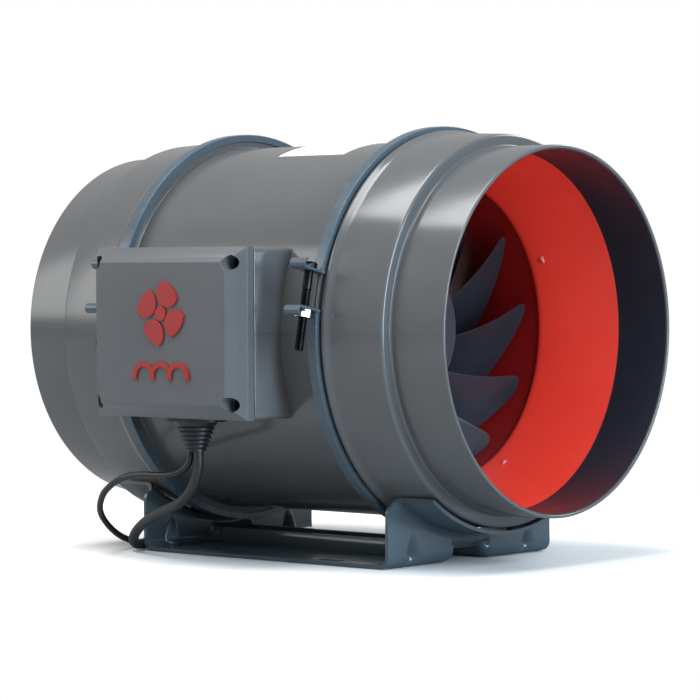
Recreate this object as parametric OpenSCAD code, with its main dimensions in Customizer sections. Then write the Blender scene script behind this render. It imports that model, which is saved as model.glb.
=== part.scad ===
// Mixed-flow inline duct fan: a moulded casing with a terminal box, two push-on duct
// collars held by split clamp bands, a red inlet bell, an external-rotor motor with an
// eleven-blade impeller, and a pressed-steel cradle. The duct axis runs along X, the
// inlet faces +X, the terminal box is on the -Y side and the cradle stands on z = 0.

/* [Duct] */
// Outer diameter of the two spigots that the duct slides over
spigot_d = 248; // [240:1:252]
// Length from one spigot rim to the other
fan_length = 382; // [376:1:400]
// Wall of the moulded collars
collar_wall = 2.5; // [2:0.1:3]
// Height of the duct axis above the floor
axis_h = 156.5; // [155:0.5:165]

/* [Casing] */
// Outer radius of the middle casing
casing_r = 129; // [128:0.5:130]
// Wall of the casing and of the terminal box
casing_wall = 3; // [2.5:0.1:3.5]
// Radius of the joint flanges under the clamp bands
flange_r = 136.5; // [136:0.1:137]
// Distance from the middle of the fan to each clamp band
band_x = 92; // [91:0.5:93]

/* [Terminal box] */
// End of the box towards the outlet
box_x0 = -83; // [-86:1:-80]
// End of the box towards the inlet
box_x1 = 56; // [50:1:60]
// Height of the box
box_h = 114; // [110:1:118]
// Distance from the duct axis plane to the lid joint
box_seam_y = 154; // [152:0.5:156]
// Depth of the lid in front of the joint
lid_depth = 18.3; // [16:0.1:20]
// Width of the sloped border of the lid
lid_slope = 10; // [8:0.5:12]

/* [Impeller] */
// Number of impeller blades
blade_count = 11; // [7:1:13]
// Radius of the blade tips at the inlet
tip_r = 100; // [96:1:101]
// Radius of the motor shaft
shaft_r = 5; // [4:0.5:5]

/* [Cradle] */
// Half of the cradle's width across the feet
cradle_half_w = 89; // [86:1:94]
// Distance from the middle of the fan to each foot's outer face
cradle_x = 113.5; // [110:0.5:116]
// Thickness of the pressed sheet
sheet = 2.5; // [2:0.1:3]
// Half of the gap between the two feet
foot_gap = 13; // [11:1:16]

/* [Cords] */
// Diameter of the mains lead
mains_d = 7; // [6.5:0.1:7.5]
// Diameter of the control lead
control_d = 4.5; // [4:0.1:5]

/* [Hidden] */

smooth = 180;
spigot_r = spigot_d / 2;
rim_x = fan_length / 2;
bore_r = spigot_r - collar_wall;
shoulder_x = 147;
shoulder_r = 132.3;
casing_bore = casing_r - casing_wall;
box_z0 = axis_h - box_h / 2;
box_z1 = axis_h + box_h / 2;
box_w = box_x1 - box_x0;
box_cx = (box_x0 + box_x1) / 2;
lid_front_y = box_seam_y + lid_depth;
lid_gap = 0.8;
box_floor_y = 112;
lid_screw_in_x = 8.5;
lid_screw_in_z = 10.5;
clamp_angle = 11.5;
clamp_r = 146;
ear_half_gap = 12;
ear_t = 1.5;
ear_w = 13;
pitch_r = 10;
ball_r = 2.38;
bearing_w = 9;
bearing_xs = [-9, 26];
saddle_r = 134.6;
saddle_angle = 37;
saddle_end_x = 146;
slot_x = 56;
slot_y = 80;
slot_len = 24;
slot_r = 4.5;
drain_x = 101;
drain_len = 11;
drain_r = 2.6;
gland_x = -15;
gland_y = -136;
gland_tip_z = box_z0 - 23.5;
fit = 0.02;

// Grey paint, cool grey steel, red moulding and the inner metals
grey = "#6e7072";
steel_grey = "#5d6a73";
red = "#d8352b";
dark_red = "#8e1a18";
charcoal = "#2c3036";
black = "#17181a";
rubber = "#232527";
steel = "#b9bcc0";
copper = "#b5713a";

// Turns z into the duct axis: local [r, z] profiles become rings about X
module on_axis() translate([0, 0, axis_h]) rotate([0, 90, 0]) children();

// A ring whose outline is a list of [radius, x] points
module ring(outline) on_axis() rotate_extrude($fn = smooth) polygon(outline);

// A plain tube about the duct axis
module tube(r_out, r_in, x0, x1)
    on_axis() translate([0, 0, x0])
        difference() {
            cylinder(r = r_out, h = x1 - x0, $fn = smooth);
            translate([0, 0, -1]) cylinder(r = r_in, h = x1 - x0 + 2, $fn = smooth);
        }

// A rod about the duct axis
module rod(r, x0, x1) on_axis() translate([0, 0, x0]) cylinder(r = r, h = x1 - x0, $fn = 96);

// Children placed at an angle round the duct, 0 on the -Y side, counted towards +Z
module round_duct(angle) translate([0, 0, axis_h]) rotate([-angle, 0, 0]) children();

// A rectangle with round corners, centred
module round_rect(w, h, r) {
    square([w - 2 * r, h], center = true);
    square([w, h - 2 * r], center = true);
    for (sx = [-1, 1], sy = [-1, 1])
        translate([sx * (w / 2 - r), sy * (h / 2 - r)]) circle(r = r, $fn = 48);
}

// A slab in the box's own plane: outline in x and z, from depth y0 to y1 on the -Y side
module box_slab(w, h, r, y0, y1)
    translate([box_cx, -y0, axis_h]) rotate([90, 0, 0])
        linear_extrude(y1 - y0) round_rect(w, h, r);

// Places children at the four lid screws, pointing out of the box
module at_lid_screws()
    for (x = [box_x0 + lid_screw_in_x, box_x1 - lid_screw_in_x],
         z = [box_z0 + lid_screw_in_z, box_z1 - lid_screw_in_z])
        translate([x, 0, z]) rotate([90, 0, 0]) children();

// The middle shell: a tube with a flange at each end and four pillars for the board
module casing() color(grey)
    difference() {
        union() {
            tube(casing_r, casing_bore, -band_x + 0.4, band_x - 0.4);
            for (s = [-1, 1]) casing_flange(s);
            at_board_screws() translate([0, 0, 121.3]) cylinder(r = 3.5, h = board_y - 121.3, $fn = 48);
        }
        at_lead() translate([0, 0, casing_bore - 5]) cylinder(r = 6, h = 18, $fn = 48);
        at_board_screws() translate([0, 0, board_y - 9]) cylinder(r = 1.5, h = 10, $fn = 32);
    }

// The base of the terminal box: four walls on the casing, with a screw boss in each corner
module terminal_box() color(grey)
    difference() {
        box_slab(box_w, box_h, 4, box_floor_y, box_seam_y);
        rod(casing_r + 0.05, box_x0 - 5, box_x1 + 5);
        difference() {
            box_slab(box_w - 2 * casing_wall, box_h - 2 * casing_wall, 2.5,
                box_floor_y - 1, box_seam_y + 1);
            at_lid_screws() cylinder(r = 6.2, h = 200, $fn = 48);
        }
        at_lid_screws() translate([0, 0, box_seam_y - 15]) cylinder(r = 2, h = 20, $fn = 32);
        translate([gland_x, gland_y, box_z0 - 1]) cylinder(r = 9, h = 10, $fn = 64);
    }

module casing_flange(s)
    tube(flange_r, casing_bore, s > 0 ? band_x - 2.5 : -band_x + 0.4,
        s > 0 ? band_x - 0.4 : -band_x + 2.5);

// A collar: joint flange, tapered drum, flat shoulder and the spigot
module collar(s) ring([for (p = [
    [bore_r, rim_x - 0.4], [bore_r + 0.4, rim_x], [spigot_r - 0.8, rim_x],
    [spigot_r, rim_x - 0.8], [spigot_r, shoulder_x + 2], [spigot_r + 0.5, shoulder_x + 0.6],
    [spigot_r + 1.6, shoulder_x], [shoulder_r - 1.5, shoulder_x],
    [shoulder_r, shoulder_x - 1.5], [134, band_x + 14], [134.8, band_x + 11],
    [136.3, band_x + 8.5], [136.3, band_x + 6], [133, band_x + 5.2],
    [133, band_x + 2.5], [flange_r, band_x + 2.5], [flange_r, band_x + 0.4],
    [130, band_x + 0.4], [130, band_x + 6], [131.3, band_x + 9],
    [129.5, shoulder_x - collar_wall], [bore_r, shoulder_x - collar_wall]])
    [p[0], s * p[1]]]);

module inlet_collar() color(grey) collar(1);
module outlet_collar() color(grey) collar(-1);

// Flat rubber rings between the flanges
module inlet_seal() color(rubber) tube(flange_r - 0.5, 130, band_x - 0.4, band_x + 0.4);
module outlet_seal() color(rubber) tube(flange_r - 0.5, 130, -band_x - 0.4, -band_x + 0.4);

// A split channel band over one pair of flanges, with two curled clamp ears
module clamp_band(x) {
    difference() {
        ring([[134, x - 4], [138.6, x - 4], [139, x - 3.6], [139, x + 3.6],
            [138.6, x + 4], [134, x + 4], [134, x + 2.6], [137, x + 2.6],
            [137, x - 2.6], [134, x - 2.6]]);
        round_duct(clamp_angle) translate([x - 8, -160, -ear_half_gap])
            cube([16, 60, 2 * ear_half_gap]);
    }
    for (s = [-1, 1]) clamp_ear(x, s);
}

// One ear: a flat plate with the screw hole, curled over at its outer end
curl_y = 9;
module clamp_ear(x, s)
    round_duct(clamp_angle) translate([x, -clamp_r, s * (ear_half_gap + ear_t / 2)])
        difference() {
            union() {
                translate([-ear_w / 2, -curl_y, -ear_t / 2]) cube([ear_w, curl_y + 8.4, ear_t]);
                translate([0, -curl_y, s * 2.75]) rotate([0, 90, 0]) difference() {
                    cylinder(r = 3.5, h = ear_w, center = true, $fn = 48);
                    cylinder(r = 2, h = ear_w + 2, center = true, $fn = 48);
                    translate([-10 + (s < 0 ? 10 : 0), 0, -10]) cube([10, 10, 20]);
                }
            }
            cylinder(r = 3.3, h = 4, center = true, $fn = 48);
        }

module inlet_band() color(steel_grey) clamp_band(band_x);
module outlet_band() color(steel_grey) clamp_band(-band_x);

// Places children on each clamp screw's axis, which lies along the ring's tangent
module at_clamps()
    for (x = [-band_x, band_x])
        round_duct(clamp_angle) translate([x, -clamp_r, 0]) children();

module clamp_screws() color(black)
    at_clamps() {
        translate([0, 0, -40.5]) cylinder(r = 3, h = 54.2, $fn = 48);
        translate([0, 0, 13.52]) cylinder(r = 5.2, h = 1, $fn = 64);
        translate([0, 0, 14.5]) difference() {
            cylinder(r = 4.9, h = 3.4, $fn = 64);
            translate([-6, -0.7, 1.8]) cube([12, 1.4, 3]);
        }
    }

module clamp_nuts() color(black)
    at_clamps() translate([0, 0, -18.6]) difference() {
        cylinder(r = 5.7, h = 5, $fn = 6);
        translate([0, 0, -1]) cylinder(r = 3.03, h = 7, $fn = 48);
    }

// The inlet bell: a thin flared ring inside the inlet collar, rolled at its throat
bell_x0 = 94;
bell_x1 = 149.5;
bell_throat = 102;
function bell_r(x) = bell_throat + (bore_r - 0.4 - bell_throat) * pow((x - bell_x0) / (bell_x1 - bell_x0), 1.15);
module inlet_bell() color(red)
    difference() {
        ring(concat(
            [for (i = [0:8]) let (x = bell_x0 + i * (bell_x1 - bell_x0) / 8) [bell_r(x), x]],
            [for (i = [8:-1:0]) let (x = bell_x0 + i * (bell_x1 - bell_x0) / 8)
                [bell_r(x) + (i == 8 ? 0.2 : 2), x + (i == 8 ? 0 : -1)]]));
        at_bell_screws() translate([0, 0, -20]) cylinder(r = 1.8, h = 40, $fn = 32);
        at_bell_screws() translate([0, 0, -1.22]) cylinder(r = 2.75, h = 20, $fn = 32);
    }

// Four small screws hold the bell to the duct's front flange
module at_bell_screws()
    for (a = [27.5:90:359])
        translate([0, 0, axis_h]) rotate([a, 0, 0]) translate([bell_x0 + 10, bell_screw_r, 0])
            rotate([0, 90, 0]) children();
bell_screw_r = 105.5;

module bell_screws() color(dark_red)
    at_bell_screws() {
        translate([0, 0, -18]) cylinder(r = 1.5, h = 18.2, $fn = 32);
        translate([0, 0, -1.2]) cylinder(r = 2.6, h = 1.8, $fn = 32);
    }

// The duct round the impeller widens towards the outlet and carries a flange at each end
duct_x0 = -88;
duct_x1 = 92;
function duct_r(x) = x > 60 ? 103.5 : x < -60 ? 119 : 103.5 + 15.5 * (0.5 - 0.5 * cos((60 - x) * 1.5));
module impeller_duct() color(dark_red)
    difference() {
        union() {
            ring(concat(
                [for (i = [0:15]) let (x = duct_x0 + i * 12) [duct_r(x), x]],
                [for (i = [15:-1:0]) let (x = duct_x0 + i * 12) [duct_r(x) + 2, x]]));
            tube(casing_bore - 0.1, duct_r(duct_x1) + 1, duct_x1 - 3, duct_x1);
            tube(casing_bore - 0.1, duct_r(duct_x0) + 1, duct_x0, duct_x0 + 3);
            at_bell_screws() translate([0, 0, -22]) cylinder(r = 4, h = 10, $fn = 32);
        }
        at_bell_screws() translate([0, 0, -25]) cylinder(r = 1.52, h = 30, $fn = 32);
        at_duct_screws() cylinder(r = 1.52, h = 14, center = true, $fn = 32);
        at_lead() translate([0, 0, 105]) cylinder(r = 3.4, h = 20, $fn = 48);
    }

// Small radial screws through the duct into the guide vanes' ring
module at_duct_screws()
    for (a = [15:60:359])
        translate([0, 0, axis_h]) rotate([a, 0, 0]) translate([-72, duct_r(-72) + 1, 0])
            rotate([-90, 0, 0]) children();

module duct_screws() color(steel)
    at_duct_screws() {
        translate([0, 0, -2.9]) cylinder(r = 1.5, h = 4, $fn = 32);
        translate([0, 0, 1]) cylinder(r = 2.8, h = 1.6, $fn = 32);
    }

// Impeller: a hollow conical hub with swept, twisted blades that widen towards the back
hub_x0 = -24;
hub_x1 = 62;
function hub_r(x) = 73 - 26 * pow((x - hub_x0) / (hub_x1 - hub_x0), 1.3);
blade_t = 1.8;
span_steps = 8;
chord_steps = 10;
// Front and back edge of a blade at span s from 0 at the hub to 1 at the tip: x and angle
function edge_front(s) = [60 + 35 * s - 6 * pow(s, 6), -7 + 22 * pow(s, 0.9) - 3 * pow(s, 8)];
function edge_back(s) = [-18 - 4 * s, -78 + 6 * s];
// The outer front corner is round: the share of the chord that the arc takes off there
corner_s = 0.76;
function corner_cut(s) = s < corner_s ? 0 : 0.09 * (1 - sqrt(max(0, 1 - pow((s - corner_s) / (1 - corner_s), 2))));
function blade_r(s, x) = hub_r(min(x, hub_x1 - 0.5)) - 1.2
    + s * ((x > 30 ? tip_r : min(duct_r(x) - 3, tip_r + (30 - x) * 0.19)) - hub_r(min(x, hub_x1 - 0.5)) + 1.2);
function blade_point(s, c, side) =
    let (f = edge_front(s), b = edge_back(s), k = c + corner_cut(s) * (1 - c),
         x = f[0] + (b[0] - f[0]) * k,
         a = f[1] + (b[1] - f[1]) * (1.25 * k - 0.25 * k * k),
         r = blade_r(s, x),
         t = side * blade_t * (0.3 + 0.7 * sin(180 * (0.08 + 0.84 * c))) / 2,
         turn = t / r * 57.3)
    [x + t * 0.55, r * cos(a + turn), r * sin(a + turn)];
spans = [0, 0.2, 0.4, 0.6, 0.76, 0.88, 0.95, 0.985, 1];
function span_at(i) = spans[i];
function grid(i, j, side) = side * (span_steps + 1) * (chord_steps + 1) + i * (chord_steps + 1) + j;
module blade() polyhedron(
    points = [for (side = [1, -1], i = [0:span_steps], j = [0:chord_steps])
        blade_point(span_at(i), j / chord_steps, side)],
    faces = concat(
        [for (i = [0:span_steps - 1], j = [0:chord_steps - 1]) each [
            [grid(i, j, 0), grid(i + 1, j, 0), grid(i + 1, j + 1, 0)],
            [grid(i, j, 0), grid(i + 1, j + 1, 0), grid(i, j + 1, 0)],
            [grid(i, j, 1), grid(i + 1, j + 1, 1), grid(i + 1, j, 1)],
            [grid(i, j, 1), grid(i, j + 1, 1), grid(i + 1, j + 1, 1)]]],
        [for (i = [0:span_steps - 1]) each [
            [grid(i, 0, 0), grid(i, 0, 1), grid(i + 1, 0, 1)],
            [grid(i, 0, 0), grid(i + 1, 0, 1), grid(i + 1, 0, 0)],
            [grid(i, chord_steps, 0), grid(i + 1, chord_steps, 1), grid(i, chord_steps, 1)],
            [grid(i, chord_steps, 0), grid(i + 1, chord_steps, 0), grid(i + 1, chord_steps, 1)]]],
        [for (j = [0:chord_steps - 1]) each [
            [grid(0, j, 0), grid(0, j + 1, 1), grid(0, j, 1)],
            [grid(0, j, 0), grid(0, j + 1, 0), grid(0, j + 1, 1)],
            [grid(span_steps, j, 0), grid(span_steps, j, 1), grid(span_steps, j + 1, 1)],
            [grid(span_steps, j, 0), grid(span_steps, j + 1, 1), grid(span_steps, j + 1, 0)]]]));

module impeller_hub() color(charcoal)
    ring(concat(
        [[shaft_r + fit, 40], [shaft_r + fit, hub_x1 - 4], [14, hub_x1 - 4], [18, hub_x1 - 1]],
        [for (i = [6:-1:0]) let (x = hub_x0 + i * (hub_x1 - hub_x0) / 6) [hub_r(x), x]],
        [for (i = [0:5]) let (x = hub_x0 + i * (hub_x1 - hub_x0) / 6) [hub_r(x) - 3, x]],
        [[47, 50], [12, 50], [12, 40]]));
module impeller_blades() color(charcoal)
    translate([0, 0, axis_h]) for (k = [0:blade_count - 1])
        rotate([k * 360 / blade_count, 0, 0]) blade();

// External-rotor motor inside the hub
module rotor_can() color(steel) {
    tube(46, 43.5, 2, 49.98);
    tube(43.5, 12.05, 47, 49.98);
}
module rotor_magnets() color(charcoal) tube(43.5, 40, 6, 40);
module motor_shaft() color(steel) {
    rod(shaft_r, -16, hub_x1 + 2);
    tube(shaft_r + 1.6, shaft_r - 0.5, -15.5, -14);
}
module shaft_nut() color(steel)
    on_axis() translate([0, 0, hub_x1 - 4]) difference() {
        cylinder(r = 9, h = 5, $fn = 6);
        translate([0, 0, -1]) cylinder(r = shaft_r + fit, h = 7, $fn = 64);
    }

// Two deep-groove ball bearings: rings with a groove, balls and a cage
module bearing_ring(r_out, r_in)
    for (x = bearing_xs) difference() {
        tube(r_out, r_in, x, x + bearing_w);
        on_axis() translate([0, 0, x + bearing_w / 2]) rotate_extrude($fn = 96)
            translate([pitch_r, 0]) circle(r = ball_r + 0.06, $fn = 48);
    }
module bearing_inner_rings() color(steel) bearing_ring(7.9, shaft_r + fit);
module bearing_outer_rings() color(steel) bearing_ring(15, 12.1);
module at_balls()
    for (x = bearing_xs, a = [0:45:359])
        on_axis() rotate([0, 0, a]) translate([pitch_r, 0, x + bearing_w / 2]) children();
module bearing_balls() color(steel) at_balls() sphere(r = ball_r, $fn = 32);
module bearing_cages() color(copper)
    for (x = bearing_xs) difference() {
        tube(10.7, 9.3, x + 1.4, x + bearing_w - 1.4);
        on_axis() translate([0, 0, x + bearing_w / 2]) for (a = [0:45:359])
            rotate([0, 0, a]) translate([pitch_r, 0, 0]) rotate([0, 90, 0])
                cylinder(r = ball_r + 0.08, h = 4, center = true, $fn = 32);
    }

// Wound stator on the mount's tube
stator_teeth = 12;
module stator_core() color(steel)
    difference() {
        tube(39.2, 18.02, 10, 34);
        on_axis() for (a = [0:360 / stator_teeth:359]) rotate([0, 0, a]) {
            translate([24, -3.6, 9]) cube([12, 7.2, 26]);
            translate([35, -1.2, 9]) cube([6, 2.4, 26]);
        }
    }
module stator_windings() color(copper)
    on_axis() for (a = [0:360 / stator_teeth:359]) rotate([0, 0, a])
        translate([24.4, -3.2, 7]) cube([11.2, 6.4, 30]);
module motor_board() color("#2f6b3c") tube(37, 19, -14, -12.4);

// Cast mount: a plate behind the motor with the bearing tube on it
module motor_mount() color(steel)
    difference() {
        union() {
            tube(60, 15, -22, -18);
            tube(18, 12.2, -18, 37);
        }
        rod(15, bearing_xs[0], bearing_xs[0] + bearing_w);
        rod(15, bearing_xs[1], 38);
        at_motor_screws() cylinder(r = 2.05, h = 20, center = true, $fn = 32);
        translate([-25, -lead_in_r, lead_z]) rotate([0, 90, 0]) cylinder(r = 5, h = 12, $fn = 48);
    }
module at_motor_screws()
    for (a = [45:90:359]) on_axis() rotate([0, 0, a]) translate([52, 0, -22]) children();
module motor_screws() color(black)
    at_motor_screws() {
        translate([0, 0, -8]) cylinder(r = 2, h = 12, $fn = 32);
        translate([0, 0, 4]) cylinder(r = 3.6, h = 2.5, $fn = 32);
    }

// Fixed guide vanes between a central fairing and an outer ring behind the impeller
vane_count = 9;
module guide_vanes() color(charcoal) {
    difference() {
        ring([[70, -28], [72, -30], [66, -70], [50, -96], [28, -106], [25, -104],
            [46, -93], [62, -68], [66, -30], [66, -26], [12, -26], [12, -22.05],
            [60.2, -22.05], [60.2, -25], [70, -25]]);
        at_motor_screws() cylinder(r = 2.05, h = 40, center = true, $fn = 32);
        translate([-35, -lead_in_r, lead_z]) rotate([0, 90, 0]) cylinder(r = 5, h = 15, $fn = 48);
        at_lead() translate([0, 0, 40]) cylinder(r = 4, h = 40, $fn = 48);
    }
    difference() {
        tube(118.9, 116.5, -82, -62);
        at_duct_screws() cylinder(r = 1.52, h = 14, center = true, $fn = 32);
        at_lead() translate([0, 0, 105]) cylinder(r = 3.4, h = 20, $fn = 48);
    }
    for (k = [0:vane_count - 1]) translate([0, 0, axis_h]) rotate([k * 40 + 20, 0, 0])
        translate([-78, 60, -1.1]) linear_extrude(2.2)
            polygon([[-3, -3], [15, 4], [15, 57.6], [-3, 57.6]]);
}

// Insulated lead from the terminal box, beside a vane and through the fairing to the motor
lead_x = -70;
lead_z = axis_h + 7;
lead_in_r = 32;
module at_lead() translate([lead_x, 0, lead_z]) rotate([90, 0, 0]) children();
module motor_lead() color(black) {
    at_lead() translate([0, 0, lead_in_r]) cylinder(r = 3, h = 138 - lead_in_r, $fn = 32);
    translate([lead_x, -lead_in_r, lead_z]) sphere(r = 3, $fn = 32);
    translate([lead_x, -lead_in_r, lead_z]) rotate([0, 90, 0]) cylinder(r = 3, h = -15 - lead_x, $fn = 32);
}
module lead_grommet() color(rubber)
    at_lead() difference() {
        union() {
            translate([0, 0, casing_bore - 0.5]) cylinder(r = 5.95, h = 5.5, $fn = 48);
            translate([0, 0, casing_r + 0.2]) cylinder(r = 8, h = 2, $fn = 48);
        }
        translate([0, 0, casing_bore - 3]) cylinder(r = 3.05, h = 12, $fn = 48);
    }

// The lid: a shallow cap with a wide sloped border and a round recess over each screw
module lid_outline(inset, front)
    intersection() {
        translate([0, 0, box_z0 + inset]) linear_extrude(box_h - 2 * inset)
            polygon([[box_x0 + inset, -box_seam_y - lid_gap], [box_x0 + inset, -box_seam_y - 6.6 + inset / 2],
                [box_x0 + lid_slope + inset / 2, -front], [box_x1 - lid_slope - inset / 2, -front],
                [box_x1 - inset, -box_seam_y - 6.6 + inset / 2], [box_x1 - inset, -box_seam_y - lid_gap]]);
        translate([box_x0 + inset, 0, 0]) rotate([90, 0, 90]) linear_extrude(box_w - 2 * inset)
            polygon([[-box_seam_y - lid_gap, box_z0 + inset], [-box_seam_y - 6.6 + inset / 2, box_z0 + inset],
                [-front, box_z0 + lid_slope + inset / 2], [-front, box_z1 - lid_slope - inset / 2],
                [-box_seam_y - 6.6 + inset / 2, box_z1 - inset], [-box_seam_y - lid_gap, box_z1 - inset]]);
    }
module box_lid() color(grey)
    difference() {
        lid_outline(0, lid_front_y);
        difference() {
            translate([0, 0.01, 0]) lid_outline(2.6, lid_front_y - 2.6);
            at_lid_screws() cylinder(r = 7.6, h = 200, $fn = 48);
        }
        at_lid_screws() {
            translate([0, 0, box_seam_y + 3.5]) cylinder(r = 5, h = 30, $fn = 48);
            translate([0, 0, box_seam_y - 5]) cylinder(r = 2.2, h = 30, $fn = 32);
        }
    }
module lid_seal() color(rubber)
    difference() {
        box_slab(box_w - 2, box_h - 2, 3, box_seam_y, box_seam_y + lid_gap);
        box_slab(box_w - 5.6, box_h - 5.6, 2, box_seam_y - 1, box_seam_y + 2);
    }
module lid_screws() color(black)
    at_lid_screws() {
        translate([0, 0, box_seam_y - 10]) cylinder(r = 1.95, h = 13.6, $fn = 32);
        translate([0, 0, box_seam_y + 3.55]) difference() {
            cylinder(r = 3.8, h = 2.6, $fn = 48);
            translate([-4, -0.6, 1.2]) cube([8, 1.2, 2]);
            translate([-0.6, -4, 1.2]) cube([1.2, 8, 2]);
        }
    }

// Raised generic sign on the lid: a four-bladed fan over two air waves
sign_x = -11.5;
sign_z = axis_h + 13;
module sign_blade()
    intersection() {
        translate([0, 4]) circle(r = 18, $fn = 64);
        translate([11, 10.5]) circle(r = 9.6, $fn = 64);
    }
module sign_wave(w)
    for (k = [0:2]) translate([(k - 1) * 16, 0]) difference() {
        circle(r = 10, $fn = 64);
        circle(r = 10 - w, $fn = 64);
        translate([-12, -24]) square([24, 20 + 2]);
    }
module lid_emblem() color(red)
    translate([sign_x, -lid_front_y, sign_z]) rotate([90, 0, 0]) linear_extrude(1.2) {
        circle(r = 5, $fn = 48);
        for (a = [20:90:359]) rotate(a) sign_blade();
        translate([0, -42]) sign_wave(3.5);
    }

// Electronics inside the terminal box
board_y = 140.4;
board_t = 1.6;
module control_board() color("#2f6b3c")
    difference() {
        union() {
            translate([-60, -board_y - board_t, box_z0 + 14]) cube([62, board_t, 86]);
            translate([-52, -149, box_z0 + 50]) cube([26, 7.2, 22]);
            translate([-20, -150, box_z0 + 64]) cube([12, 8.2, 14]);
        }
        at_board_screws() translate([0, 0, board_y - 1]) cylinder(r = 1.6, h = 20, $fn = 32);
    }
module at_board_screws()
    for (x = [-56, -2], z = [box_z0 + 18, box_z0 + 96])
        translate([x, 0, z]) rotate([90, 0, 0]) children();
module board_screws() color(steel)
    at_board_screws() {
        translate([0, 0, board_y - 7]) cylinder(r = 1.48, h = 9, $fn = 32);
        translate([0, 0, board_y + board_t + 0.01]) cylinder(r = 3, h = 2, $fn = 32);
    }
module terminal_block() color(black)
    difference() {
        translate([14, -148, box_z0 + 30]) cube([18, 26, 54]);
        rod(casing_r + 0.03, 0, 50);
        for (k = [0:4]) translate([23, -149, box_z0 + 37 + k * 10]) rotate([-90, 0, 0])
            cylinder(r = 3, h = 6, $fn = 32);
    }

// Pressed cradle: two feet with tray floors, joined by curved saddles under the collars
module cradle() color(steel_grey)
    difference() {
        union() {
            for (s = [-1, 1]) {
                cradle_plate(s);
                cradle_saddle(s);
                cradle_tray(s);
            }
        }
        for (sx = [-1, 1], sy = [-1, 1]) {
            translate([sx * slot_x, sy * slot_y, -1]) slot(slot_len, slot_r);
            translate([sx * drain_x, sy * slot_y, -1]) slot(drain_len, drain_r);
            at_cradle_screw(sx, sy) {
                translate([0, 0, -0.5]) cylinder(r1 = 5.1, r2 = 2.1, h = 3, $fn = 48);
                cylinder(r = 2.3, h = 20, center = true, $fn = 32);
            }
        }
    }
module slot(length, r) linear_extrude(6) {
    square([length - 2 * r, 2 * r], center = true);
    for (s = [-1, 1]) translate([s * (length / 2 - r), 0]) circle(r = r, $fn = 48);
}
// An end plate: two feet with round outer corners, hollowed for the saddle
module cradle_plate(s)
    translate([s > 0 ? cradle_x - sheet : -cradle_x, 0, 0]) rotate([90, 0, 90])
        linear_extrude(sheet) difference() {
            union() {
                translate([0, 26]) round_rect(2 * cradle_half_w, 52, 10);
                translate([-cradle_half_w, 0]) square([20, 20]);
                translate([cradle_half_w - 20, 0]) square([20, 20]);
            }
            translate([0, axis_h]) circle(r = saddle_r + 0.5, $fn = smooth);
            translate([-foot_gap, -1]) square([2 * foot_gap, 13]);
        }
// A saddle: part of a ring that follows the collar's underside
module cradle_saddle(s)
    difference() {
        tube(saddle_r + sheet, saddle_r, s > 0 ? cradle_x - sheet : -saddle_end_x,
            s > 0 ? saddle_end_x : -cradle_x + sheet);
        for (t = [-1, 1]) translate([0, 0, axis_h]) rotate([t * saddle_angle, 0, 0])
            translate([-200, t > 0 ? 0 : -400, -300]) cube([400, 400, 600]);
    }
// A tray: a floor with a coved inner edge that stands up between the feet
cove_r = 12;
module cradle_tray(s)
    translate([-cradle_x, 0, 0]) rotate([90, 0, 90]) linear_extrude(2 * cradle_x) {
        translate([s > 0 ? foot_gap + cove_r : -cradle_half_w, 0])
            square([cradle_half_w - foot_gap - cove_r, sheet]);
        translate([s * (foot_gap + cove_r), cove_r]) intersection() {
            difference() {
                circle(r = cove_r, $fn = 96);
                circle(r = cove_r - sheet, $fn = 96);
            }
            translate([s > 0 ? -cove_r : 0, -cove_r]) square(cove_r);
        }
    }
// Flush countersunk screws through each saddle, tightened against the collar
module at_cradle_screw(sx, sy)
    translate([sx * 130, 0, axis_h]) rotate([sy * 9, 0, 0]) translate([0, 0, -saddle_r - sheet]) children();
module cradle_screws() color(black)
    for (sx = [-1, 1], sy = [-1, 1]) at_cradle_screw(sx, sy) {
        translate([0, 0, 0.05]) cylinder(r1 = 4.4, r2 = 2.2, h = 2.2, $fn = 48);
        translate([0, 0, 2.2]) cylinder(r = 2, h = 1.75, $fn = 32);
    }

// Blank rating label on the upper side of the casing
module rating_label() color("white")
    intersection() {
        tube(casing_r + 0.25, casing_r, -20, 40);
        round_duct(84) translate([-40, -150, -34]) cube([100, 60, 68]);
    }

// Ribbed rubber strain relief under the terminal box
gland_rings = 6;
module cable_gland() color(rubber)
    union() {
        translate([gland_x, gland_y, box_z0 - 3]) linear_extrude(3) round_rect(45, 33, 16);
        translate([gland_x, gland_y, box_z0 - 6]) cylinder(r1 = 13.6, r2 = 15, h = 3, $fn = 64);
        translate([gland_x, gland_y, gland_tip_z]) cylinder(r1 = 5.6, r2 = 12, h = 18, $fn = 64);
        for (k = [0:gland_rings - 1]) translate([gland_x, gland_y, gland_tip_z + 0.2 + k * 2.9])
            cylinder(r = 6.9 + 1.15 * k, h = 1.7, $fn = 64);
        translate([gland_x, gland_y, box_z0]) cylinder(r = 8.95, h = 5, $fn = 64);
    }

// A cord swept along its route: rings of sides about each point, square to the path
function unit(v) = v / norm(v);
function route_dir(p, i) = unit(p[min(i + 1, len(p) - 1)] - p[max(i - 1, 0)]);
function side_of(d) = unit(abs(d[2]) > 0.9 ? cross(d, [0, 1, 0]) : cross(d, [0, 0, 1]));
module cord(route, d, sides) polyhedron(
    points = [for (i = [0:len(route) - 1]) let (t = route_dir(route, i), u = side_of(t), v = cross(t, u))
        for (k = [0:sides - 1]) route[i] + d / 2 * (u * cos(k * 360 / sides) + v * sin(k * 360 / sides))],
    faces = concat(
        [[for (k = [0:sides - 1]) k]],
        [for (i = [0:len(route) - 2], k = [0:sides - 1])
            [i * sides + k, (i + 1) * sides + k, (i + 1) * sides + (k + 1) % sides, i * sides + (k + 1) % sides]],
        [[for (k = [sides - 1:-1:0]) (len(route) - 1) * sides + k]]));

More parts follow.
